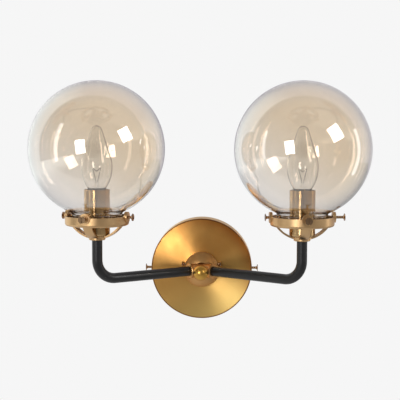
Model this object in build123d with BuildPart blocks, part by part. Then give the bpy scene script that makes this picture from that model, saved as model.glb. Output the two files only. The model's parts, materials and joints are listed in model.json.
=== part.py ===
from build123d import *
import os
from math import acos, atan2, cos, hypot, pi, radians, sin, sqrt

# Double arm wall sconce: a round spun wall plate, a hub with two arm sockets, two bent black arms, and on
# each arm a gallery of four straps and four thumb screws that holds a glass globe over a candle bulb.
#
# Millimetres. +X is to the viewer's right, +Y goes into the wall and +Z is up. The origin is the middle
# of the wall plate's back, on the face of the wall. The arms lie at the height of the origin.

os.makedirs("parts", exist_ok=True)

# ---- driving sizes ------------------------------------------------------------------------------------

# wall plate, a spun dish whose front is a very shallow cone
canopy_diameter = 120.0
canopy_depth = 25.0
canopy_crown = 2.0
canopy_wall = 1.2
canopy_edge_radius = 1.6
canopy_seat_rim = 1.5

# wall bracket, a strip with its ends bent forward, and a tongue that carries the terminal block
bracket_width = 20.0
bracket_thickness = 2.0
bracket_tab_past_screw = 5.0
bracket_tab_width = 16.0
bracket_to_canopy = 0.7
tongue_width = 26.0
tongue_past_block = 3.0
wall_hole_spacing = 70.0
wall_slot_length = 12.0
wall_slot_width = 4.8
earth_screw_offset = 18.0
earth_screw_diameter = 4.0
earth_head_diameter = 8.0
earth_head_height = 2.6

# terminal block
block_length = 24.0
block_height = 15.0
block_depth = 12.0
block_gap = 20.0
block_pole_pitch = 8.0
block_hole_diameter = 3.4
block_row_pitch = 7.5
block_screw_hole_depth = 4.0
block_wire_hole_depth = 5.0

# hub
hub_axis_height = 8.5
hub_foot_diameter = 26.0
hub_foot_height = 6.0
hub_stem_diameter = 18.4
hub_nose_length = 0.3
hub_nose_rim = 1.0
hub_socket_wall = 2.4
hub_mouth_flare = 0.9
hub_mouth_length = 4.0
hub_socket_length = 18.0
hub_socket_floor = 10.0
hub_chamber_diameter = 11.0
dome_diameter = 41.0
dome_rim_height = 4.2
dome_rise = 9.0
dome_wall = 1.4

# ball that closes the hub's front
ball_diameter = 18.0
ball_neck_diameter = 9.0
ball_neck_length = 0.5
ball_shank_diameter = 6.0
ball_shank_length = 8.0

# threaded hollow rods, which fit the bore of the arm tube, with their nuts and washer
nut_across_flats = 14.0
nut_height = 3.0
washer_diameter = 18.0
washer_thickness = 1.0
rod_past_nut = 1.5
rod_in_hub = 5.0
rod_in_arm = 10.0
rod_to_holder_floor = 1.8

# arms
gallery_spacing = 226.0
gallery_reach = 112.0
tube_diameter = 11.5
tube_wall = 0.75
bend_radius = 22.0
arm_rise = 44.5
flex_diameter = 3.0
flex_gap = 1.0
flex_hub_bend = 9.0
flex_canopy_bend = 9.0

# gallery: a collar on the arm, a bowl of straps and a ring with ears
collar_diameter = 18.5
collar_height = 2.8
collar_chamfer = 0.8
strap_width = 10.5
strap_thickness = 1.8
bowl_base_diameter = 23.6
bowl_height = 13.7
strap_end_inset = 5.7
ring_diameter = 70.5
ring_wall = 2.0
ring_height = 10.4
ring_floor = 1.8
ring_edge_radius = 2.5
ear_diameter = 12.0
ear_proud = 1.3
ear_drop = 0.8

# globe
globe_diameter = 150.0
globe_wall = 2.0
lip_clearance = 1.75
lip_step = 3.5
lip_bore_wall = 2.3
neck_length = 12.1
neck_fillet = 3.0

# socket cup and sleeve
cup_diameter = 28.4
cup_wall = 0.9
cup_height = 27.1
cup_corner_radius = 3.5
cup_spigot_height = 2.4
sleeve_past_holder = 3.9
sleeve_gap = 0.6
sleeve_wall = 0.55
sleeve_lip = 1.4
sleeve_lip_height = 0.8

# lampholder
holder_clearance = 0.5
holder_below_cap = 0.7
holder_base_depth = 8.8
holder_web = 4.0
shell_wall = 0.85
shell_lift = 3.0
contact_diameter = 6.0
contact_height = 5.6
contact_base_height = 2.8
contact_nose_diameter = 3.0

# candle bulb
cap_diameter = 13.9
cap_length = 22.9
cap_wall = 0.35
cap_skirt = 0.7
cap_skirt_length = 2.6
cap_floor = 0.6
tip_diameter = 4.8
tip_height = 2.4
bulb_diameter = 34.6
bulb_glass_length = 73.5
bulb_widest_height = 27.6
bulb_tip_radius = 6.5
bulb_neck_in_cap = 9.0
bulb_glass_wall = 0.8
stem_diameter = 4.4
stem_length = 20.0
stem_foot_thickness = 1.5
wire_diameter = 0.7
wire_foot_length = 2.0
wire_foot_spread = 1.0
wire_spread = 5.0
wire_rise = 17.0
filament_sag = 5.0

# thumb screws with a flared, slotted head
screw_diameter = 3.0
screw_head_diameter = 8.0
screw_head_height = 2.8
screw_head_rim = 0.8
screw_tip_chamfer = 0.4
screw_slot_width = 0.9
screw_slot_depth = 0.8
gallery_screw_head_gap = 1.25
gallery_slot_turn = 35.0
gallery_slot_step = 50.0
canopy_screw_inset = 11.0
canopy_screw_past_tab = 2.3
canopy_screw_head_gap = 4.4
canopy_slot_turn = 25.0
hub_screw_diameter = 2.4
hub_screw_head_diameter = 5.6
hub_screw_bite = 2.7
hub_screw_hole_past_tip = 1.0
hub_screw_head_gap = 0.8
hub_screw_height = 6.5
hub_slot_turn = 60.0

# fits
running_clearance = 0.05
loose_clearance = 0.2
seat_gap = 0.3

# The straps, ears and screws of a gallery, counted round from the right.
screw_places = ("right", "back", "left", "front")

# How far each gallery is turned on its arm, in degrees, and how far each of its screws is backed out.
gallery_turn = {"left": -14.0, "right": 5.0}
backed_out = {
    "left": {"front": 4.0, "right": 1.6, "back": 0.0, "left": 0.0},
    "right": {"front": 5.0, "right": 6.5, "back": 0.0, "left": 0.6},
}

# ---- places worked out from the sizes -----------------------------------------------------------------

canopy_radius = canopy_diameter / 2
canopy_front = canopy_depth + canopy_crown
canopy_inside = canopy_front - canopy_wall
canopy_seat_radius = dome_diameter / 2 + canopy_seat_rim
canopy_screw_depth = canopy_depth - canopy_screw_inset
hub_axis = canopy_front + hub_axis_height
tube_radius = tube_diameter / 2
tube_bore = tube_radius - tube_wall
rod_radius = tube_bore
flex_offset = (flex_diameter + flex_gap) / 2
rod_bore = flex_offset + flex_diameter / 2 + loose_clearance
screw_radius = screw_diameter / 2
socket_radius = tube_radius + hub_socket_wall
fork = Vector(0, -hub_axis, 0)

spider_z = arm_rise + collar_height
ring_z = spider_z + bowl_height
ring_top_z = ring_z + ring_height
ring_radius = ring_diameter / 2
ring_bore = ring_radius - ring_wall
bowl_base_radius = bowl_base_diameter / 2
strap_end_radius = ring_radius - strap_end_inset
bowl_drop = (strap_end_radius**2 + bowl_height**2 - bowl_base_radius**2) / (2 * bowl_height)
bowl_centre_z = spider_z + bowl_drop
bowl_radius = sqrt(bowl_base_radius**2 + bowl_drop**2)
ring_floor_bore = strap_end_radius - strap_thickness
strap_step = 360 / len(screw_places)
ear_z = ring_top_z - ear_drop
ear_face = ring_radius + ear_proud

lip_z = ring_z + ring_floor + seat_gap
lip_radius = ring_bore - lip_clearance
neck_radius = lip_radius - lip_step
neck_bore = neck_radius - lip_bore_wall
lip_top_z = ear_z - screw_radius - seat_gap
globe_radius = globe_diameter / 2
globe_z = lip_z + neck_length + sqrt(globe_radius**2 - neck_radius**2)

cup_z = spider_z + strap_thickness
cup_radius = cup_diameter / 2
cup_top_z = cup_z + cup_height
sleeve_z = cup_top_z + sleeve_gap
holder_z = cup_z + cup_wall + nut_height + loose_clearance
holder_radius = cup_radius - cup_wall - holder_clearance
holder_floor_z = holder_z + holder_base_depth
holder_well_z = holder_floor_z + holder_web
cap_radius = cap_diameter / 2
shell_bore = cap_radius + seat_gap
shell_radius = shell_bore + shell_wall
bulb_z = holder_well_z + contact_height + seat_gap
cap_z = bulb_z + tip_height
cap_top_z = cap_z + cap_length
shell_z = holder_well_z + shell_lift
shell_top_z = cap_top_z - cap_skirt_length - seat_gap
holder_top_z = cap_top_z - holder_below_cap
sleeve_top_z = holder_top_z + sleeve_past_holder
bulb_neck_radius = cap_radius - cap_wall
bulb_top_z = cap_top_z + bulb_glass_length


def arm_direction(side):
    """The level direction in which an arm leaves the hub; side is -1 on the left and 1 on the right."""
    return Vector(side * gallery_spacing / 2, hub_axis - gallery_reach, 0).normalized()


def radial_direction(place, k):
    """The level direction of strap, ear and screw number k of the gallery at that place."""
    angle = radians(gallery_turn[place] + strap_step * k)
    return Vector(cos(angle), sin(angle), 0)


def corner(sketch, radius, height):
    """The sketch's vertex nearest to a point."""
    return sketch.vertices().sort_by_distance((radius, height))[0]


def turned(name, frame, outline):
    """A round piece: its half outline, as (radius, height) points, turned about the frame's Y axis."""
    with BuildPart() as piece:
        with BuildSketch(frame):
            with BuildLine():
                Polyline(*outline, close=True)
            make_face()
        revolve(axis=Axis(frame.origin, frame.y_dir))
    piece.part.label = name
    export_step(piece.part, f"parts/{name}.step")


def hex_nut(name, frame, height):
    """A plain hexagon nut on a threaded rod; it stands on the frame and grows along its Z axis."""
    with BuildPart() as nut:
        with BuildSketch(frame):
            RegularPolygon(radius=nut_across_flats / 2, side_count=6, major_radius=False)
            Circle(rod_radius, mode=Mode.SUBTRACT)
        extrude(amount=height)
    nut.part.label = name
    export_step(nut.part, f"parts/{name}.step")


def thumb_screw(name, tip, direction, length, diameter, head_diameter, slot_turn):
    """A slotted screw with a flared head. The tip is given, and the head lies along the direction."""
    radius = diameter / 2
    head_radius = head_diameter / 2
    with BuildPart() as screw:
        with BuildSketch(Plane(origin=tip, x_dir=direction, z_dir=(0, 0, 1))):
            with BuildLine():
                body = Polyline(
                    (length, head_radius),
                    (length, 0),
                    (0, 0),
                    (0, radius - screw_tip_chamfer),
                    (screw_tip_chamfer, radius),
                    (length - screw_head_height, radius),
                )
                flare = TangentArc(body @ 1, (length - screw_head_rim, head_radius), tangent=(1, 0))
                Line(flare @ 1, body @ 0)
            make_face()
        revolve(axis=Axis(tip, direction))
        with BuildSketch(Plane(origin=tip + direction * length, x_dir=(0, 0, 1), z_dir=direction)):
            Rectangle(2 * head_diameter, screw_slot_width, rotation=slot_turn)
        extrude(amount=-screw_slot_depth, mode=Mode.SUBTRACT)
    screw.part.label = name
    export_step(screw.part, f"parts/{name}.step")


# ---- wall bracket and what it carries -----------------------------------------------------------------

tab_x = sqrt((canopy_radius - canopy_wall) ** 2 - (bracket_tab_width / 2) ** 2) - bracket_to_canopy
block_top_z = -block_gap
tongue_drop = block_gap + block_height + tongue_past_block

with BuildPart() as wall_bracket:
    with BuildSketch(Plane.XZ):
        Rectangle(2 * tab_x, bracket_width)
        with Locations((0, -tongue_drop / 2)):
            Rectangle(tongue_width, tongue_drop)
        with Locations((-wall_hole_spacing / 2, 0), (wall_hole_spacing / 2, 0)):
            SlotOverall(wall_slot_length, wall_slot_width, mode=Mode.SUBTRACT)
        with Locations((earth_screw_offset, 0)):
            Circle(earth_screw_diameter / 2, mode=Mode.SUBTRACT)
    extrude(amount=bracket_thickness)
    with BuildSketch(Plane.XZ):
        with Locations((-tab_x + bracket_thickness / 2, 0), (tab_x - bracket_thickness / 2, 0)):
            Rectangle(bracket_thickness, bracket_tab_width)
    extrude(amount=canopy_screw_depth + bracket_tab_past_screw)
    with BuildSketch(Plane.YZ):
        with Locations((-canopy_screw_depth, 0)):
            Circle(screw_radius + running_clearance)
    extrude(amount=canopy_radius, both=True, mode=Mode.SUBTRACT)
wall_bracket.part.label = "wall_bracket"
export_step(wall_bracket.part, "parts/wall_bracket.step")

with BuildPart() as earth_screw:
    with BuildSketch(Plane.XZ):
        with Locations((earth_screw_offset, 0)):
            Circle(earth_screw_diameter / 2)
    extrude(amount=bracket_thickness)
    with BuildSketch(Plane.XZ.offset(bracket_thickness)):
        with Locations((earth_screw_offset, 0)):
            Circle(earth_head_diameter / 2)
    extrude(amount=earth_head_height)
    with BuildSketch(Plane.XZ.offset(bracket_thickness + earth_head_height)):
        with Locations((earth_screw_offset, 0)):
            Rectangle(2 * earth_head_diameter, screw_slot_width)
            Rectangle(screw_slot_width, 2 * earth_head_diameter)
    extrude(amount=-screw_slot_depth, mode=Mode.SUBTRACT)
earth_screw.part.label = "earth_screw"
export_step(earth_screw.part, "parts/earth_screw.step")

with BuildPart() as terminal_block:
    with BuildSketch(Plane.XZ.offset(bracket_thickness)):
        with Locations((0, block_top_z - block_height / 2)):
            Rectangle(block_length, block_height)
    extrude(amount=block_depth)
    with BuildSketch(Plane.XZ.offset(bracket_thickness + block_depth)):
        with Locations((0, block_top_z - block_height / 2)):
            with GridLocations(block_pole_pitch, block_row_pitch, 3, 2):
                Circle(block_hole_diameter / 2)
    extrude(amount=-block_screw_hole_depth, mode=Mode.SUBTRACT)
    with BuildSketch(Plane.XY.offset(block_top_z - block_height)):
        with Locations((0, -bracket_thickness - block_depth / 2)):
            with GridLocations(block_pole_pitch, block_pole_pitch, 3, 1):
                Circle(block_hole_diameter / 2)
    extrude(amount=block_wire_hole_depth, mode=Mode.SUBTRACT)
terminal_block.part.label = "terminal_block"
export_step(terminal_block.part, "parts/terminal_block.step")

# ---- wall plate ---------------------------------------------------------------------------------------

with BuildPart() as canopy:
    with BuildSketch(Plane.XY) as canopy_section:
        with BuildLine():
            Polyline(
                (canopy_radius, 0),
                (canopy_radius, -canopy_depth),
                (canopy_seat_radius, -canopy_front),
                (rod_radius, -canopy_front),
                (rod_radius, -canopy_inside),
                (canopy_seat_radius, -canopy_inside),
                (canopy_radius - canopy_wall, -canopy_depth + canopy_wall),
                (canopy_radius - canopy_wall, 0),
                close=True,
            )
        make_face()
        fillet(corner(canopy_section, canopy_radius, -canopy_depth), canopy_edge_radius)
        fillet(
            corner(canopy_section, canopy_radius - canopy_wall, -canopy_depth + canopy_wall),
            canopy_edge_radius - canopy_wall,
        )
    revolve(axis=Axis.Y)
    with BuildSketch(Plane.YZ):
        with Locations((-canopy_screw_depth, 0)):
            Circle(screw_radius + loose_clearance)
    extrude(amount=canopy_diameter, both=True, mode=Mode.SUBTRACT)
canopy.part.label = "canopy"
export_step(canopy.part, "parts/canopy.step")

for side, place in ((-1, "left"), (1, "right")):
    tip_x = tab_x - bracket_thickness - canopy_screw_past_tab
    thumb_screw(
        f"canopy_screw_{place}",
        Vector(side * tip_x, -canopy_screw_depth, 0),
        Vector(side, 0, 0),
        canopy_radius + canopy_screw_head_gap + screw_head_height - tip_x,
        screw_diameter,
        screw_head_diameter,
        canopy_slot_turn * side,
    )

# ---- hub ----------------------------------------------------------------------------------------------

# The nose ends just past the place where the two sleeves part to let the ball's neck through.
arm_lean = arm_direction(1)
sleeve_front = (socket_radius - ball_neck_diameter / 2 * arm_lean.Y) / arm_lean.X
hub_front_length = sleeve_front + hub_nose_length
hub_foot_y = -canopy_front
hub_front_y = -hub_axis - hub_front_length
dome_radius = dome_diameter / 2
hub_screw_y = hub_foot_y - hub_screw_head_diameter / 2 - seat_gap
hub_screw_tip_x = sqrt((hub_foot_diameter / 2) ** 2 - hub_screw_height**2) - hub_screw_bite
hub_screw_head_x = sqrt(dome_radius**2 - hub_screw_height**2) + hub_screw_head_gap + screw_head_height

with BuildPart() as hub_body:
    with BuildSketch(Plane.XY):
        with BuildLine():
            Polyline(
                (0, hub_foot_y),
                (hub_foot_diameter / 2, hub_foot_y),
                (hub_foot_diameter / 2, hub_foot_y - hub_foot_height),
                (hub_stem_diameter / 2, hub_foot_y - hub_foot_height),
                (hub_stem_diameter / 2, -hub_axis),
                (ball_neck_diameter / 2 + hub_nose_rim, hub_front_y),
                (0, hub_front_y),
                close=True,
            )
        make_face()
    revolve(axis=Axis.Y)
    for side in (-1, 1):
        direction = arm_direction(side)
        with BuildSketch(Plane(origin=fork, x_dir=direction, z_dir=(0, 0, 1))):
            with BuildLine():
                sleeve = Polyline(
                    (0, 0),
                    (0, socket_radius),
                    (hub_socket_length - hub_mouth_length, socket_radius),
                )
                flare = TangentArc(
                    sleeve @ 1,
                    (hub_socket_length - hub_mouth_flare, socket_radius + hub_mouth_flare),
                    tangent=(1, 0),
                )
                Polyline(
                    flare @ 1,
                    (hub_socket_length, socket_radius),
                    (hub_socket_length, 0),
                    (0, 0),
                )
            make_face()
        revolve(axis=Axis(fork, direction))
    for side in (-1, 1):
        direction = arm_direction(side)
        with BuildSketch(Plane(origin=fork, z_dir=direction)):
            Circle(tube_bore)
        extrude(amount=hub_socket_length, mode=Mode.SUBTRACT)
        with BuildSketch(Plane(origin=fork + direction * hub_socket_floor, z_dir=direction)):
            Circle(tube_radius)
        extrude(amount=hub_socket_length, mode=Mode.SUBTRACT)
    with Locations(fork):
        Sphere(hub_chamber_diameter / 2, mode=Mode.SUBTRACT)
    with BuildSketch(Plane.XZ.offset(canopy_front)):
        Circle(rod_radius)
    extrude(amount=hub_axis_height, mode=Mode.SUBTRACT)
    with BuildSketch(Plane.XZ.offset(hub_axis)):
        Circle(ball_shank_diameter / 2 + running_clearance)
    extrude(amount=hub_front_length, mode=Mode.SUBTRACT)
    for side in (-1, 1):
        hole_end = Vector(side * (hub_screw_tip_x - hub_screw_hole_past_tip), hub_screw_y, hub_screw_height)
        with BuildSketch(Plane(origin=hole_end, z_dir=(side, 0, 0))):
            Circle(hub_screw_diameter / 2 + running_clearance)
        extrude(amount=hub_foot_diameter, mode=Mode.SUBTRACT)
hub_body.part.label = "hub_body"
export_step(hub_body.part, "parts/hub_body.step")

dome_rim_y = hub_foot_y - dome_rim_height
dome_arc_radius = (dome_radius**2 + dome_rise**2) / (2 * dome_rise)
dome_crown_y = dome_rim_y - dome_rise
dome_centre_y = dome_crown_y + dome_arc_radius
dome_inner_arc = dome_arc_radius - dome_wall
dome_inner_radius = dome_radius - dome_wall
dome_inner_rim_y = dome_centre_y - sqrt(dome_inner_arc**2 - dome_inner_radius**2)

with BuildPart() as hub_dome:
    with BuildSketch(Plane.XY):
        with BuildLine():
            outer = RadiusArc((0, dome_crown_y), (dome_radius, dome_rim_y), -dome_arc_radius)
            inner = RadiusArc(
                (0, dome_crown_y + dome_wall), (dome_inner_radius, dome_inner_rim_y), -dome_inner_arc
            )
            Line(outer @ 0, inner @ 0)
            Polyline(
                outer @ 1,
                (dome_radius, hub_foot_y),
                (dome_inner_radius, hub_foot_y),
                inner @ 1,
            )
        make_face()
    revolve(axis=Axis.Y)
    with BuildSketch(Plane.XZ.offset(canopy_front)):
        Circle(hub_stem_diameter / 2 + running_clearance)
    extrude(amount=2 * dome_rise + dome_rim_height, mode=Mode.SUBTRACT)
    for side in (-1, 1):
        with BuildSketch(Plane(origin=fork, z_dir=arm_direction(side))):
            Circle(socket_radius + running_clearance)
        extrude(amount=dome_diameter, mode=Mode.SUBTRACT)
    with BuildSketch(Plane.YZ):
        with Locations((hub_screw_y, hub_screw_height)):
            Circle(hub_screw_diameter / 2 + loose_clearance)
    extrude(amount=dome_diameter, both=True, mode=Mode.SUBTRACT)
hub_dome.part.label = "hub_dome"
export_step(hub_dome.part, "parts/hub_dome.step")

for side, place in ((-1, "left"), (1, "right")):
    thumb_screw(
        f"hub_screw_{place}",
        Vector(side * hub_screw_tip_x, hub_screw_y, hub_screw_height),
        Vector(side, 0, 0),
        hub_screw_head_x - hub_screw_tip_x,
        hub_screw_diameter,
        hub_screw_head_diameter,
        hub_slot_turn * side,
    )

ball_seat_y = hub_front_y - seat_gap
ball_radius = ball_diameter / 2
ball_dip = ball_radius - sqrt(ball_radius**2 - (ball_neck_diameter / 2) ** 2)
ball_y = ball_seat_y - ball_neck_length - ball_radius + ball_dip
with BuildPart() as ball_finial:
    with Locations((0, ball_y, 0)):
        Sphere(ball_radius)
    with BuildSketch(Plane.XZ.offset(-ball_seat_y)):
        Circle(ball_neck_diameter / 2)
    extrude(amount=ball_radius)
    with BuildSketch(Plane.XZ.offset(-ball_seat_y)):
        Circle(ball_shank_diameter / 2)
    extrude(amount=-ball_shank_length)
ball_finial.part.label = "ball_finial"
export_step(ball_finial.part, "parts/ball_finial.step")

# The hub's threaded rod clamps the hub to the wall plate, with a washer and a nut inside the plate.
rod_back_y = -canopy_inside + washer_thickness + nut_height + rod_past_nut
inside_plate = Plane(origin=(0, -canopy_inside, 0), x_dir=(1, 0, 0), z_dir=(0, 0, 1))
turned(
    "hub_rod",
    Plane.XY,
    [
        (rod_bore, rod_back_y),
        (rod_radius, rod_back_y),
        (rod_radius, -canopy_front - rod_in_hub),
        (rod_bore, -canopy_front - rod_in_hub),
    ],
)
turned(
    "hub_washer",
    inside_plate,
    [
        (rod_radius, 0),
        (washer_diameter / 2, 0),
        (washer_diameter / 2, washer_thickness),
        (rod_radius, washer_thickness),
    ],
)
hex_nut(
    "hub_nut",
    Plane(origin=(0, -canopy_inside + washer_thickness, 0), x_dir=(1, 0, 0), z_dir=(0, 1, 0)),
    nut_height,
)

# ---- the two arms, each with its gallery, globe, lampholder and bulb ----------------------------------

for side, place in ((-1, "left"), (1, "right")):
    direction = arm_direction(side)
    foot = Vector(side * gallery_spacing / 2, -gallery_reach, 0)
    upright = Axis(foot, (0, 0, 1))
    section = Plane(origin=foot, x_dir=(1, 0, 0), z_dir=(0, -1, 0))
    turn = gallery_turn[place]
    level = Plane(origin=foot, x_dir=(cos(radians(turn)), sin(radians(turn)), 0), z_dir=(0, 0, 1))

    # The arm runs level from the hub's socket, bends once and rises to the collar.
    with BuildPart() as arm:
        arm_start = fork + direction * hub_socket_floor
        with BuildLine() as arm_line:
            FilletPolyline(arm_start, foot, foot + Vector(0, 0, arm_rise), radius=bend_radius)
        with BuildSketch(Plane(origin=arm_start, z_dir=direction)):
            Circle(tube_radius)
            Circle(tube_bore, mode=Mode.SUBTRACT)
        sweep(path=arm_line.line)
    arm.part.label = f"{place}_arm"
    export_step(arm.part, f"parts/{place}_arm.step")

    # The flex runs from the lampholder down through the arm, and back through the hub to the terminals.
    with BuildPart() as flex:
        flex_top = foot + Vector(0, 0, holder_floor_z)
        flex_x = side * flex_offset
        flex_y = rod_back_y + flex_canopy_bend
        with BuildLine() as flex_line:
            FilletPolyline(
                flex_top,
                foot,
                Vector(flex_x, -hub_axis, 0),
                Vector(flex_x, flex_y, 0),
                Vector(flex_x, flex_y, block_top_z),
                radius=[bend_radius, flex_hub_bend, flex_canopy_bend],
            )
        with BuildSketch(Plane(origin=flex_top, z_dir=(0, 0, -1))):
            Circle(flex_diameter / 2)
        sweep(path=flex_line.line)
    flex.part.label = f"{place}_flex"
    export_step(flex.part, f"parts/{place}_flex.step")
    flex_length = flex_line.wires()[0].length
    flex_volume = flex_length * pi * (flex_diameter / 2) ** 2
    print(f"{place} flex: length {flex_length:.1f}, volume {flex.part.volume:.1f} of {flex_volume:.1f}")

    turned(
        f"{place}_collar",
        section,
        [
            (rod_radius, arm_rise),
            (collar_diameter / 2 - collar_chamfer, arm_rise),
            (collar_diameter / 2, arm_rise + collar_chamfer),
            (collar_diameter / 2, spider_z),
            (rod_radius, spider_z),
        ],
    )
    turned(
        f"{place}_rod",
        section,
        [
            (rod_bore, arm_rise - rod_in_arm),
            (rod_radius, arm_rise - rod_in_arm),
            (rod_radius, holder_floor_z - rod_to_holder_floor),
            (rod_bore, holder_floor_z - rod_to_holder_floor),
        ],
    )

    # Spider: a flat base and curved straps, cut from a bowl that is part of a sphere.
    with BuildPart() as spider:
        bowl_inner = bowl_radius - strap_thickness
        with BuildSketch(section):
            with BuildLine():
                strap_inner_end = sqrt(bowl_inner**2 - (bowl_centre_z - ring_z) ** 2)
                base_inner = sqrt(bowl_inner**2 - (bowl_centre_z - cup_z) ** 2)
                outside = RadiusArc((bowl_base_radius, spider_z), (strap_end_radius, ring_z), -bowl_radius)
                inside = RadiusArc((base_inner, cup_z), (strap_inner_end, ring_z), -bowl_inner)
                Line(outside @ 1, inside @ 1)
                Polyline(inside @ 0, (0, cup_z), (0, spider_z), outside @ 0)
            make_face()
        revolve(axis=upright)
        with BuildSketch(level.offset(spider_z)):
            Circle(bowl_base_radius)
            with PolarLocations(bowl_radius / 2, len(screw_places)):
                Rectangle(bowl_radius, strap_width)
        extrude(amount=bowl_height, mode=Mode.INTERSECT)
        with BuildSketch(level.offset(spider_z)):
            Circle(rod_radius)
        extrude(amount=strap_thickness, mode=Mode.SUBTRACT)
    spider.part.label = f"{place}_spider"
    export_step(spider.part, f"parts/{place}_spider.step")

    # Ring: a channel with a floor for the glass to stand on, and round ears for the screws.
    with BuildPart() as ring:
        with BuildSketch(section) as ring_section:
            with BuildLine():
                Polyline(
                    (ring_radius, ring_top_z),
                    (ring_radius, ring_z),
                    (ring_floor_bore, ring_z),
                    (ring_floor_bore, ring_z + ring_floor),
                    (ring_bore, ring_z + ring_floor),
                    (ring_bore, ring_top_z),
                    close=True,
                )
            make_face()
            fillet(corner(ring_section, ring_radius, ring_z), ring_edge_radius)
        revolve(axis=upright)
        for k in range(len(screw_places)):
            outward = radial_direction(place, k)
            with BuildSketch(Plane(origin=foot + outward * ring_bore + Vector(0, 0, ear_z), z_dir=outward)):
                Circle(ear_diameter / 2)
            extrude(amount=ear_face - ring_bore)
        for k in range(len(screw_places)):
            outward = radial_direction(place, k)
            with BuildSketch(Plane(origin=foot + Vector(0, 0, ear_z), z_dir=outward)):
                Circle(screw_radius + running_clearance)
            extrude(amount=ear_face, mode=Mode.SUBTRACT)
    ring.part.label = f"{place}_ring"
    export_step(ring.part, f"parts/{place}_ring.step")

    for k, where in enumerate(screw_places):
        outward = radial_direction(place, k)
        tip_radius = neck_radius + seat_gap
        thumb_screw(
            f"{place}_screw_{where}",
            foot + outward * (tip_radius + backed_out[place][where]) + Vector(0, 0, ear_z),
            outward,
            ear_face + gallery_screw_head_gap + screw_head_height - tip_radius,
            screw_diameter,
            screw_head_diameter,
            gallery_slot_turn + gallery_slot_step * k,
        )

    # Globe: a blown sphere on a short neck, with a rolled lip that stands on the ring's floor.
    with BuildPart() as globe:
        with BuildSketch(section) as globe_section:
            glass_inner = globe_radius - globe_wall
            neck_top_z = lip_z + neck_length
            inner_top_z = globe_z - sqrt(glass_inner**2 - neck_bore**2)
            with BuildLine():
                outside = RadiusArc((neck_radius, neck_top_z), (globe_radius, globe_z), -globe_radius)
                outside_top = RadiusArc(outside @ 1, (0, globe_z + globe_radius), -globe_radius)
                inside = RadiusArc((neck_bore, inner_top_z), (glass_inner, globe_z), -glass_inner)
                inside_top = RadiusArc(inside @ 1, (0, globe_z + glass_inner), -glass_inner)
                Line(outside_top @ 1, inside_top @ 1)
                Polyline(
                    inside @ 0,
                    (neck_bore, lip_z),
                    (lip_radius, lip_z),
                    (lip_radius, (lip_z + lip_top_z) / 2),
                    (neck_radius, lip_top_z),
                    outside @ 0,
                )
            make_face()
            fillet(corner(globe_section, neck_radius, neck_top_z), neck_fillet)
            fillet(corner(globe_section, neck_bore, inner_top_z), neck_fillet + globe_wall)
            fillet(corner(globe_section, lip_radius, lip_z), globe_wall / 2)
            fillet(corner(globe_section, lip_radius, (lip_z + lip_top_z) / 2), globe_wall / 2)
        revolve(axis=upright)
    globe.part.label = f"{place}_globe"
    export_step(globe.part, f"parts/{place}_globe.step")

    # Socket: a cup on the spider, a nut that clamps it, and a sleeve over the lampholder.
    with BuildPart() as cup:
        with BuildSketch(section) as cup_section:
            spigot_radius = cup_radius - sleeve_wall - running_clearance
            with BuildLine():
                Polyline(
                    (rod_radius, cup_z),
                    (cup_radius, cup_z),
                    (cup_radius, cup_top_z),
                    (spigot_radius, cup_top_z),
                    (spigot_radius, cup_top_z + cup_spigot_height),
                    (cup_radius - cup_wall, cup_top_z + cup_spigot_height),
                    (cup_radius - cup_wall, cup_z + cup_wall),
                    (rod_radius, cup_z + cup_wall),
                    close=True,
                )
            make_face()
            fillet(corner(cup_section, cup_radius, cup_z), cup_corner_radius)
            fillet(corner(cup_section, cup_radius - cup_wall, cup_z + cup_wall), cup_corner_radius - cup_wall)
        revolve(axis=upright)
    cup.part.label = f"{place}_cup"
    export_step(cup.part, f"parts/{place}_cup.step")

    hex_nut(f"{place}_nut", level.offset(cup_z + cup_wall), nut_height)
    turned(
        f"{place}_sleeve",
        section,
        [
            (cup_radius - sleeve_wall, sleeve_z),
            (cup_radius, sleeve_z),
            (cup_radius, sleeve_top_z - sleeve_lip_height / 2),
            (cup_radius - sleeve_lip_height / 2, sleeve_top_z),
            (cup_radius - sleeve_lip, sleeve_top_z),
            (cup_radius - sleeve_lip, sleeve_top_z - sleeve_lip_height),
            (cup_radius - sleeve_wall, sleeve_top_z - sleeve_lip_height),
        ],
    )
    turned(
        f"{place}_lampholder",
        section,
        [
            (rod_radius, holder_z),
            (holder_radius, holder_z),
            (holder_radius, holder_top_z),
            (shell_radius, holder_top_z),
            (shell_radius, holder_well_z),
            (0, holder_well_z),
            (0, holder_floor_z),
            (rod_radius, holder_floor_z),
        ],
    )
    turned(
        f"{place}_shell",
        section,
        [
            (shell_bore, shell_z),
            (shell_radius, shell_z),
            (shell_radius, shell_top_z),
            (shell_bore, shell_top_z),
        ],
    )
    turned(
        f"{place}_contact",
        section,
        [
            (0, holder_well_z),
            (contact_diameter / 2, holder_well_z),
            (contact_diameter / 2, holder_well_z + contact_base_height),
            (contact_nose_diameter / 2, holder_well_z + contact_height),
            (0, holder_well_z + contact_height),
        ],
    )

    # Bulb: a metal screw cap with its solder tip, a clear candle-shaped glass, a stem and a filament.
    turned(
        f"{place}_bulb_tip",
        section,
        [
            (0, bulb_z),
            (tip_diameter / 2, bulb_z),
            (cap_radius - cap_wall, cap_z),
            (0, cap_z),
        ],
    )
    turned(
        f"{place}_bulb_cap",
        section,
        [
            (0, cap_z),
            (cap_radius, cap_z),
            (cap_radius, cap_top_z - cap_skirt_length),
            (cap_radius + cap_skirt, cap_top_z - cap_skirt_length / 2),
            (cap_radius + cap_skirt, cap_top_z),
            (bulb_neck_radius, cap_top_z),
            (bulb_neck_radius, cap_z + cap_floor),
            (0, cap_z + cap_floor),
        ],
    )
    with BuildPart() as bulb_glass:
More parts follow.
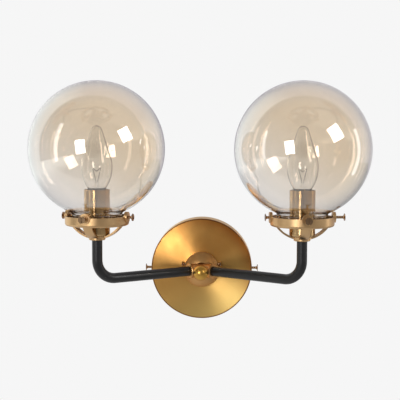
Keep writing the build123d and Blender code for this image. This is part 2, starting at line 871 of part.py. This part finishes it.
        # The belly is one arc, the tip another, and the line between them touches both.
        widest_z = cap_top_z + bulb_widest_height
        bulb_radius = bulb_diameter / 2
        swell = bulb_radius - bulb_neck_radius
        belly = (swell**2 + bulb_widest_height**2) / (2 * swell)
        belly_x = bulb_radius - belly
        tip_z = bulb_top_z - bulb_tip_radius
        centres = hypot(belly_x, tip_z - widest_z)
        taper = atan2(tip_z - widest_z, -belly_x) - acos((belly - bulb_tip_radius) / centres)
        with BuildSketch(section):
            glass_foot_z = cap_top_z - bulb_neck_in_cap
            with BuildLine():
                for inset in (0, bulb_glass_wall):
                    arc = belly - inset
                    tip = bulb_tip_radius - inset
                    neck_x = bulb_neck_radius - inset
                    neck_z = widest_z - sqrt(arc**2 - (neck_x - belly_x) ** 2)
                    shoulder = (belly_x + arc * cos(taper), widest_z + arc * sin(taper))
                    tip_foot = (tip * cos(taper), tip_z + tip * sin(taper))
                    Line((neck_x, glass_foot_z), (neck_x, neck_z))
                    RadiusArc((neck_x, neck_z), shoulder, -arc)
                    Line(shoulder, tip_foot)
                    RadiusArc(tip_foot, (0, tip_z + tip), -tip)
                Line((0, bulb_top_z), (0, bulb_top_z - bulb_glass_wall))
                Line((bulb_neck_radius, glass_foot_z), (bulb_neck_radius - bulb_glass_wall, glass_foot_z))
            make_face()
        revolve(axis=upright)
    bulb_glass.part.label = f"{place}_bulb_glass"
    export_step(bulb_glass.part, f"parts/{place}_bulb_glass.step")

    stem_z = cap_top_z - bulb_neck_in_cap
    stem_top_z = stem_z + stem_length
    turned(
        f"{place}_bulb_stem",
        section,
        [
            (0, stem_z),
            (bulb_neck_radius - bulb_glass_wall, stem_z),
            (bulb_neck_radius - bulb_glass_wall, stem_z + stem_foot_thickness),
            (stem_diameter / 2, stem_z + stem_length / 2),
            (stem_diameter / 2, stem_top_z),
            (0, stem_top_z),
        ],
    )
    with BuildPart() as filament:
        wire_foot = foot + Vector(0, 0, stem_top_z)
        wire_top = wire_foot + Vector(0, 0, wire_rise)
        foot_spread = Vector(wire_foot_spread, 0, 0)
        foot_rise = Vector(0, 0, wire_foot_length)
        spread = Vector(wire_spread, 0, 0)
        with BuildLine() as wire_line:
            FilletPolyline(
                wire_foot - foot_spread,
                wire_foot - foot_spread + foot_rise,
                wire_top - spread,
                wire_top - Vector(0, 0, filament_sag),
                wire_top + spread,
                wire_foot + foot_spread + foot_rise,
                wire_foot + foot_spread,
                radius=wire_diameter,
            )
        with BuildSketch(Plane(origin=wire_line.line @ 0, z_dir=wire_line.line % 0)):
            Circle(wire_diameter / 2)
        sweep(path=wire_line.line)
    filament.part.label = f"{place}_bulb_filament"
    export_step(filament.part, f"parts/{place}_bulb_filament.step")

print(f"globe centre z {globe_z:.2f}, ring top {ring_top_z:.2f}, sleeve top {sleeve_top_z:.2f}")
print(f"bulb top {bulb_top_z:.2f}, ball centre y {ball_y:.2f}, dome crown y {dome_crown_y:.2f}")
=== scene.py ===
"""Looks, studio and camera for the double arm wall sconce. Metres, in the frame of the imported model."""
import json
from math import cos, pi, radians, sin

import bpy
from mathutils import Matrix, Vector

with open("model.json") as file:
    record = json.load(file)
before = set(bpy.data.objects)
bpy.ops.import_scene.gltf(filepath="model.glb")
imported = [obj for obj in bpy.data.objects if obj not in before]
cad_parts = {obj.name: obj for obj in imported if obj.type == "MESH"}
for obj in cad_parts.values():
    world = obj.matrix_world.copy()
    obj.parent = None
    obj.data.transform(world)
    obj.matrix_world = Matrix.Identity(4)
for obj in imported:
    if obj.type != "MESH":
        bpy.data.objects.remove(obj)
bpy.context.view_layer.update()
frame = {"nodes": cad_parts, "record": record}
nodes = frame["nodes"]
scene = bpy.context.scene

# ---- camera --------------------------------------------------------------------------------------------

CAMERA_PLACE = Vector((0.03488, -1.2, 0.17664))
CAMERA_YAW = 0.0314  # radians, towards -X
CAMERA_PITCH = 0.0802  # radians, downwards
CAMERA_ROLL = 0.0020  # radians
CAMERA_LENS = 89.44  # millimetres, as is the sensor
SENSOR_WIDTH = 36.0


def camera_turn():
    """The camera's own axes in the frame: a yaw, then a pitch, then a roll about the line of sight."""
    ahead = Vector(
        (-sin(CAMERA_YAW) * cos(CAMERA_PITCH), cos(CAMERA_YAW) * cos(CAMERA_PITCH), -sin(CAMERA_PITCH))
    )
    level_right = Vector((cos(CAMERA_YAW), sin(CAMERA_YAW), 0))
    level_up = level_right.cross(ahead)
    right = level_right * cos(CAMERA_ROLL) + level_up * sin(CAMERA_ROLL)
    up = level_up * cos(CAMERA_ROLL) - level_right * sin(CAMERA_ROLL)
    return Matrix((right, up, -ahead)).transposed()


def make_camera():
    """The camera at the photograph's viewing angle."""
    data = bpy.data.cameras.new("camera")
    data.lens = CAMERA_LENS
    data.sensor_width = SENSOR_WIDTH
    camera = bpy.data.objects.new("camera", data)
    camera.matrix_world = Matrix.Translation(CAMERA_PLACE) @ camera_turn().to_4x4()
    scene.collection.objects.link(camera)
    scene.camera = camera


# ---- node helpers --------------------------------------------------------------------------------------

COLOR_INPUTS = (6, 7)  # the two colour sockets of a Mix node
COLOR_OUTPUT = 2
NOISE_SPAN = (0.3, 0.7)  # holds nearly all the values of a noise
BOX_MIDDLE = (0.5, 0.5, 0.5)  # of a piece, in Generated coordinates
RING_FINENESS = 60.0  # how fast a grain changes across its rings, against 1 for a radian along them


def add(tree, kind, inputs=None, **settings):
    """One shader node. An input given as a socket is linked, and any other value is set on the input."""
    node = tree.nodes.new("ShaderNode" + kind)
    for name, value in settings.items():
        setattr(node, name, value)
    for key, value in (inputs or {}).items():
        if isinstance(value, bpy.types.NodeSocket):
            tree.links.new(value, node.inputs[key])
        else:
            node.inputs[key].default_value = value
    return node


def compute(tree, operation, first, second):
    """A number worked out from two others."""
    return add(tree, "Math", {0: first, 1: second}, operation=operation).outputs["Value"]


def compute_vector(tree, operation, *vectors):
    """A vector worked out from one or two others, or the length of one."""
    outputs = add(tree, "VectorMath", dict(enumerate(vectors)), operation=operation).outputs
    return outputs["Value"] if operation == "LENGTH" else outputs["Vector"]


def coordinates(tree, kind):
    """Object is in metres. Generated goes 0 to 1 across a piece's box, and is a direction in the world."""
    return add(tree, "TexCoord").outputs[kind]


def split(tree, vector):
    """The X, Y and Z of a vector."""
    return add(tree, "SeparateXYZ", {0: vector}).outputs


def noise(tree, vector, scale, detail=3.0, roughness=0.5):
    """A noise texture's value, 0 to 1, over a vector."""
    inputs = {"Vector": vector, "Scale": scale, "Detail": detail, "Roughness": roughness}
    return add(tree, "TexNoise", inputs).outputs["Fac"]


def spread(tree, value, span, low=0.0, high=1.0):
    """Goes from low to high while a value crosses a span, and stays level before and after it."""
    start, end = span
    inputs = {"Value": value, "From Min": start, "From Max": end, "To Min": low, "To Max": high}
    return add(tree, "MapRange", inputs).outputs["Result"]


def blend_colors(tree, amount, first, second):
    """The first colour where the amount is 0 and the second where it is 1."""
    mixer = add(tree, "Mix", {"Factor": amount}, data_type="RGBA")
    for index, value in zip(COLOR_INPUTS, (first, second)):
        if isinstance(value, bpy.types.NodeSocket):
            tree.links.new(value, mixer.inputs[index])
        else:
            mixer.inputs[index].default_value = (*value, 1.0)
    return mixer.outputs[COLOR_OUTPUT]


def new_material(name, **values):
    """A material with one Principled shader; the values are set on its own sockets."""
    material = bpy.data.materials.new(name)
    material.use_nodes = True
    tree = material.node_tree
    shader = tree.nodes["Principled BSDF"]
    for key, value in values.items():
        shader.inputs[key.replace("_", " ")].default_value = value
    return material, tree, shader


def bump(tree, shader, height, distance):
    """Small relief: a height from 0 to 1, over a distance in metres."""
    normal = add(tree, "Bump", {"Height": height, "Distance": distance, "Strength": 1.0}).outputs["Normal"]
    tree.links.new(normal, shader.inputs["Normal"])


def square_to(tree, vector, axis):
    """What is left of a vector without its part along an axis."""
    kept = [0.0 if letter == axis else 1.0 for letter in "XYZ"]
    return compute_vector(tree, "MULTIPLY", vector, kept)


def turned_grain(tree, axis):
    """Coordinates in which a noise draws the fine rings that turning about an axis leaves."""
    centred = compute_vector(tree, "SUBTRACT", coordinates(tree, "Generated"), BOX_MIDDLE)
    across = square_to(tree, centred, axis)
    radius = compute_vector(tree, "LENGTH", across)
    around = compute_vector(tree, "NORMALIZE", across)
    along = split(tree, centred)[axis]
    rings = compute(tree, "ADD", compute(tree, "MULTIPLY", radius, RING_FINENESS), along)
    lift = add(tree, "CombineXYZ", {"X": rings, "Y": along, "Z": rings}).outputs[0]
    stretched = compute_vector(tree, "MULTIPLY", lift, (1.0, RING_FINENESS, 1.0))
    return compute_vector(tree, "ADD", stretched, around)


# ---- metals --------------------------------------------------------------------------------------------

CLOUD_SCALE = 28.0
SMUDGE_SCALE = 70.0
TURNED_SCALE = 5.0
UNTURNED_SCALE = 2400.0
METAL_SMUDGES = (0.88, 1.14)  # the least and most of a drifting roughness, as shares of its middle
QUARTER_TURN = 0.25

PLATE_PAINTED_HIGHLIGHT = (0.92, 0.62, 0.205)
PLATE_PAINTED_SHADE = (0.62, 0.20, 0.035)
PLATE_PAINTED_DARK_REFLECTION = (0.26, 0.10, 0.03)
PLATE_PAINTED_WALL_REFLECTION = (0.84, 0.60, 0.34)
# Where these painted colours end or begin, in shares of the plate's box: the highlight by height less a
# part of the place to the right, the shade by radius and by height plus that place, the dark reflection on
# the rim and the pale reflection on the wall by radius.
HIGHLIGHT_SLANT = 0.5
HIGHLIGHT_HEIGHT = (-0.2, 0.45)
SHADE_RADIUS = (0.36, 0.49)
SHADE_UPPER_RIGHT = (1.1, 1.7)
DARK_REFLECTION_RADIUS = (0.484, 0.491)
WALL_REFLECTION_RADIUS = (0.4975, 0.4995)


def smudge(tree, shader, place, roughness, shares, detail):
    """A roughness that drifts between two shares of its middle, as handling leaves it."""
    smudges = noise(tree, place, SMUDGE_SCALE, detail)
    low, high = (roughness * share for share in shares)
    tree.links.new(spread(tree, smudges, NOISE_SPAN, low, high), shader.inputs["Roughness"])


def metal(
    name, color, shade, roughness, grain_axis=None, anisotropic=0.0, grain=4e-6, patina=1.0, painted_light=None
):
    """A bare metal: a patina between two colours, smudges in its gloss, and a grain of some depth in metres,
    in rings about an axis or without one. The painted light function, where given, paints light and shade
    into the colour over the piece."""
    material, tree, shader = new_material(name, Metallic=1.0, Anisotropic=anisotropic)
    place = coordinates(tree, "Object")
    clouds = noise(tree, place, CLOUD_SCALE, detail=4.0, roughness=0.6)
    worn = blend_colors(tree, spread(tree, clouds, NOISE_SPAN, 0.0, patina), color, shade)
    tree.links.new(painted_light(tree, worn) if painted_light else worn, shader.inputs["Base Color"])
    smudge(tree, shader, place, roughness, METAL_SMUDGES, detail=3.0)
    if grain_axis:
        lines = noise(tree, turned_grain(tree, grain_axis), TURNED_SCALE, detail=2.0, roughness=0.7)
        if anisotropic:
            tangent = add(tree, "Tangent", direction_type="RADIAL", axis=grain_axis).outputs[0]
            tree.links.new(tangent, shader.inputs["Tangent"])
            shader.inputs["Anisotropic Rotation"].default_value = QUARTER_TURN
    else:
        lines = noise(tree, place, UNTURNED_SCALE, detail=2.0)
    bump(tree, shader, lines, grain)
    return material


def plate_painted_light(tree, color):
    """Painted light on the wall plate: a painted highlight makes it yellower low, painted shade makes it
    redder towards its upper right edge, a painted dark reflection runs along the rim of its face and a
    painted pale reflection covers its side wall."""
    place = coordinates(tree, "Generated")
    parts = split(tree, place)
    slant = compute(tree, "MULTIPLY", parts["X"], HIGHLIGHT_SLANT)
    height = compute(tree, "SUBTRACT", parts["Z"], slant)
    highlighted = blend_colors(tree, spread(tree, height, HIGHLIGHT_HEIGHT), PLATE_PAINTED_HIGHLIGHT, color)
    centred = compute_vector(tree, "SUBTRACT", place, BOX_MIDDLE)
    radius = compute_vector(tree, "LENGTH", square_to(tree, centred, "Y"))
    outward = spread(tree, radius, SHADE_RADIUS)
    upper_right = spread(tree, compute(tree, "ADD", parts["X"], parts["Z"]), SHADE_UPPER_RIGHT)
    red = compute(tree, "MULTIPLY", outward, upper_right)
    shaded = blend_colors(tree, red, highlighted, PLATE_PAINTED_SHADE)
    rim_reflected = blend_colors(tree, spread(tree, radius, DARK_REFLECTION_RADIUS), shaded, PLATE_PAINTED_DARK_REFLECTION)
    return blend_colors(tree, spread(tree, radius, WALL_REFLECTION_RADIUS), rim_reflected, PLATE_PAINTED_WALL_REFLECTION)


METALS = {
    # The wall plate's colour has a painted highlight, painted shade and painted reflections laid on it.
    "spun_brass": dict(
        color=(0.98, 0.52, 0.15),
        shade=(0.90, 0.43, 0.105),
        roughness=0.40,
        grain_axis="Y",
        anisotropic=0.9,
        grain=2e-6,
        painted_light=plate_painted_light,
    ),
    "aged_brass": dict(
        color=(0.64, 0.36, 0.14), shade=(0.50, 0.25, 0.085), roughness=0.36, grain_axis="Y", grain=1e-6
    ),
    "gallery_brass": dict(
        color=(0.74, 0.49, 0.25), shade=(0.62, 0.39, 0.19), roughness=0.35, grain_axis="Z", grain=1e-6
    ),
    "cup_brass": dict(
        color=(0.62, 0.42, 0.21),
        shade=(0.52, 0.34, 0.16),
        roughness=0.24,
        grain_axis="Z",
        anisotropic=0.85,
        grain=5e-7,
    ),
    "polished_brass": dict(
        color=(0.66, 0.38, 0.08), shade=(0.56, 0.28, 0.06), roughness=0.30, grain=5e-7, patina=0.6
    ),
    "screw_brass": dict(color=(0.50, 0.32, 0.18), shade=(0.36, 0.22, 0.13), roughness=0.18, grain=1e-6),
    "threaded_brass": dict(
        color=(0.74, 0.52, 0.24), shade=(0.62, 0.42, 0.18), roughness=0.28, grain_axis="Z"
    ),
    "zinc_plated_steel": dict(color=(0.62, 0.63, 0.64), shade=(0.50, 0.52, 0.55), roughness=0.34),
    "nickel_cap": dict(
        color=(0.72, 0.69, 0.62), shade=(0.60, 0.57, 0.50), roughness=0.24, grain_axis="Z"
    ),
    "filament_wire": dict(color=(0.30, 0.29, 0.28), shade=(0.20, 0.19, 0.19), roughness=0.35),
}

# ---- coatings ------------------------------------------------------------------------------------------

PEBBLE_SCALE = 900.0
COATING_SMUDGES = (0.85, 1.18)  # as METAL_SMUDGES


def coating(name, color, shade, roughness, depth=1.5e-5):
    """A paint or a plastic: a colour that drifts a little, and a faint pebbled surface."""
    material, tree, shader = new_material(name)
    place = coordinates(tree, "Object")
    clouds = noise(tree, place, CLOUD_SCALE)
    drifted = blend_colors(tree, spread(tree, clouds, NOISE_SPAN), color, shade)
    tree.links.new(drifted, shader.inputs["Base Color"])
    smudge(tree, shader, place, roughness, COATING_SMUDGES, detail=4.0)
    bump(tree, shader, noise(tree, place, PEBBLE_SCALE, detail=2.0), depth)
    return material


COATINGS = {
    "black_satin": dict(
        color=(0.006, 0.006, 0.006), shade=(0.009, 0.009, 0.010), roughness=0.37, depth=6e-6
    ),
    "flex_sleeve": dict(color=(0.03, 0.03, 0.03), shade=(0.04, 0.04, 0.04), roughness=0.45),
    "lampholder_plastic": dict(color=(0.04, 0.036, 0.034), shade=(0.055, 0.05, 0.046), roughness=0.32),
    "terminal_plastic": dict(color=(0.82, 0.80, 0.74), shade=(0.76, 0.74, 0.68), roughness=0.42),
}

# ---- glass ---------------------------------------------------------------------------------------------

LUSTRE_IOR = 1.75
# A paler tint low and to the left is a painted reflection of the pale studio on the glass.
PAINTED_REFLECTION_TINT = (0.965, 0.935, 0.90)
# The edge tint is partly the longer way through the glass and partly a painted dark outline.
EDGE_TINT_AND_PAINTED_SHADE = (0.875, 0.86, 0.855)
REFLECTION_SLANT = 0.6
REFLECTION_SPAN = (0.35, 0.95)  # of height plus that part of the place to the right, in shares of the box
EDGE_SPAN = (0.25, 0.70)  # of Facing: 0 where a face is seen head-on, 1 where it is seen edge-on


def glass(name, tint, ior, wave_scale, wave_depth, lustre_and_painted_reflection):
    """Blown glass with slow waves in its faces. Its lustre adds a coat and paints a pale reflection into the
    tint, low and to the left. It also greys the tint where a face is seen edge-on, partly for the longer way
    through the glass and partly as a painted dark outline."""
    material, tree, shader = new_material(
        name,
        Roughness=0.0,
        IOR=ior,
        Transmission_Weight=1.0,
        Coat_Weight=lustre_and_painted_reflection,
        Coat_Roughness=0.0,
        Coat_IOR=LUSTRE_IOR,
    )
    parts = split(tree, coordinates(tree, "Generated"))
    slant = compute(tree, "MULTIPLY", parts["X"], REFLECTION_SLANT)
    upward = compute(tree, "ADD", slant, parts["Z"])
    # Painted reflection: the tint turns paler low and to the left.
    painted_pale_tint = blend_colors(tree, spread(tree, upward, REFLECTION_SPAN, lustre_and_painted_reflection, 0.0), tint, PAINTED_REFLECTION_TINT)
    facing = add(tree, "LayerWeight").outputs["Facing"]
    # Partly a painted dark outline: greyer where a face is seen edge-on.
    edged = blend_colors(tree, spread(tree, facing, EDGE_SPAN, 0.0, lustre_and_painted_reflection), painted_pale_tint, EDGE_TINT_AND_PAINTED_SHADE)
    tree.links.new(edged, shader.inputs["Base Color"])
    waves = noise(tree, coordinates(tree, "Object"), wave_scale, detail=1.0)
    bump(tree, shader, waves, wave_depth)
    return material


GLASSES = {
    "tinted_glass": dict(
        tint=(0.94, 0.84, 0.71), ior=1.48, wave_scale=18.0, wave_depth=1.5e-5, lustre_and_painted_reflection=1.0
    ),
    "clear_glass": dict(
        tint=(0.99, 0.99, 0.985), ior=1.50, wave_scale=60.0, wave_depth=1e-5, lustre_and_painted_reflection=0.15
    ),
}

# ---- dressing ------------------------------------------------------------------------------------------


def make_materials():
    """One material for each slot of the record."""
    materials = {}
    for make, looks in ((metal, METALS), (coating, COATINGS), (glass, GLASSES)):
        for name, values in looks.items():
            materials[name] = make(name, **values)
    return materials


def dress_nodes(materials):
    """Each piece of the model gets the material of its slot in the record."""
    slots = {part["node"]: part["material_slot"] for part in frame["record"]["subparts"]}
    for name, piece in nodes.items():
        for slot in piece.material_slots:
            slot.material = materials[slots[name]]


# ---- studio --------------------------------------------------------------------------------------------

PALE = (0.922, 0.922, 0.922)
STUDIO_FRONT = (0.33, 0.325, 0.32)
STUDIO_LENS = (0.05, 0.05, 0.05)
STUDIO_FLOOR = (0.68, 0.68, 0.68)
STUDIO_BACK_LEFT = (1.06, 1.10, 1.08)
STUDIO_BACK_RIGHT = (0.62, 0.60, 0.62)
STUDIO_FAR = (0.34, 0.32, 0.36)
STUDIO_CENTRE = Vector((0.0, -0.08, 0.08))
# Where the world's shades meet, by the X or Y of a direction: -1 is left or towards the camera.
WORLD_RIGHT = (-0.6, -0.2)
WORLD_BEHIND = (0.17, 0.24)
WORLD_FAR = (0.96, 0.985)
WORLD_LENS = (-0.99, -0.95)
FLOOR_DROP = 0.5
FLOOR_SIZE = 6.0
FLOOR_ROUGHNESS = 0.8
# Where the floor's shades meet, by X or Y in metres.
FLOOR_AHEAD = (-0.75, -0.60)
FLOOR_ASIDE = (-0.10, 0.50)
FLOOR_LEFT = (-1.7, -1.0)
FLOOR_ASIDE_SHARE = 0.75  # of the front's shade, on the right


def seen_mirrored(tree):
    """1 for rays that metal or glass has reflected, also where they go on through glass."""
    return compute(tree, "MINIMUM", add(tree, "LightPath").outputs["Glossy Depth"], 1.0)


def seen_directly(tree):
    """1 for rays that come straight from the camera or last went through glass, if nothing mirrored them."""
    rays = add(tree, "LightPath").outputs
    straight = compute(tree, "MAXIMUM", rays["Is Camera Ray"], rays["Is Transmission Ray"])
    return compute(tree, "MULTIPLY", straight, compute(tree, "SUBTRACT", 1.0, seen_mirrored(tree)))


def make_world():
    """Pale where it is seen directly. What lights and mirrors is white behind the object to its left, grey
    to its right, darker straight behind it and in front, and black round the lens."""
    world = bpy.data.worlds.new("studio")
    world.use_nodes = True
    scene.world = world
    tree = world.node_tree
    background = tree.nodes["Background"]
    way = split(tree, coordinates(tree, "Generated"))
    far = spread(tree, way["Y"], WORLD_FAR)
    back_right = blend_colors(tree, far, STUDIO_BACK_RIGHT, STUDIO_FAR)
    right = spread(tree, way["X"], WORLD_RIGHT)
    back = blend_colors(tree, right, STUDIO_BACK_LEFT, back_right)
    front = blend_colors(tree, spread(tree, way["Y"], WORLD_LENS), STUDIO_LENS, STUDIO_FRONT)
    shade = blend_colors(tree, spread(tree, way["Y"], WORLD_BEHIND), front, back)
    tree.links.new(blend_colors(tree, seen_directly(tree), shade, PALE), background.inputs["Color"])


def make_floor():
    """A pale floor. Metal and glass mirror it grey, darker in front of the object and to its right, and
    white far to its left."""
    mesh = bpy.data.meshes.new("floor")
    half = FLOOR_SIZE / 2
    level = -FLOOR_DROP
    corners = [(-half, -half, level), (half, -half, level), (half, half, level), (-half, half, level)]
    mesh.from_pydata(corners, [], [(0, 1, 2, 3)])
    floor = bpy.data.objects.new("floor", mesh)
    scene.collection.objects.link(floor)
    material, tree, shader = new_material("floor", Base_Color=(*PALE, 1.0), Roughness=FLOOR_ROUGHNESS)
    spot = split(tree, coordinates(tree, "Object"))
    ahead = spread(tree, spot["Y"], FLOOR_AHEAD, 1.0, 0.0)
    aside = spread(tree, spot["X"], FLOOR_ASIDE, 0.0, FLOOR_ASIDE_SHARE)
    plain = blend_colors(tree, compute(tree, "MAXIMUM", ahead, aside), STUDIO_FLOOR, STUDIO_FRONT)
    mirrored = blend_colors(tree, spread(tree, spot["X"], FLOOR_LEFT), STUDIO_BACK_LEFT, plain)
    shade = blend_colors(tree, seen_directly(tree), mirrored, PALE)
    glow = add(tree, "Emission", {"Color": shade})
    shown = compute(tree, "MAXIMUM", seen_directly(tree), seen_mirrored(tree))
    mixer = add(tree, "MixShader", {0: shown, 1: shader.outputs[0], 2: glow.outputs[0]})
    tree.links.new(mixer.outputs[0], tree.nodes["Material Output"].inputs["Surface"])
    mesh.materials.append(material)


def softbox(name, place, width, height, radiance, turn=0.0):
    """A flat lamp that faces the middle of the object, with a turn of some degrees in its own plane."""
    way = Vector(place) - STUDIO_CENTRE
    data = bpy.data.lights.new(name, "AREA")
    data.shape = "RECTANGLE"
    data.size = width
    data.size_y = height
    data.energy = radiance * pi * width * height
    lamp = bpy.data.objects.new(name, data)
    facing = (-way).to_track_quat("-Z", "Y").to_matrix().to_4x4()
    spin = Matrix.Rotation(radians(turn), 4, "Z")
    lamp.matrix_world = Matrix.Translation(place) @ facing @ spin
    lamp.visible_camera = False
    scene.collection.objects.link(lamp)


def make_lamps():
    """Two wide lamps and two strips, placed by their reflections in the globes."""
    softbox("softbox_left", (-0.67, -1.75, 0.30), width=0.47, height=0.66, radiance=10.5, turn=8.0)
    softbox("softbox_right", (1.38, -1.01, 0.86), width=0.66, height=0.66, radiance=7.0, turn=16.0)
    softbox("strip_left", (-0.52, -0.36, 0.22), width=0.06, height=0.46, radiance=1.6)
    softbox("strip_right", (1.40, 0.06, 0.02), width=0.18, height=1.30, radiance=1.6)


# ---- the scene -----------------------------------------------------------------------------------------

make_camera()
dress_nodes(make_materials())
make_world()
make_floor()
make_lamps()
scene.view_settings.view_transform = "Standard"
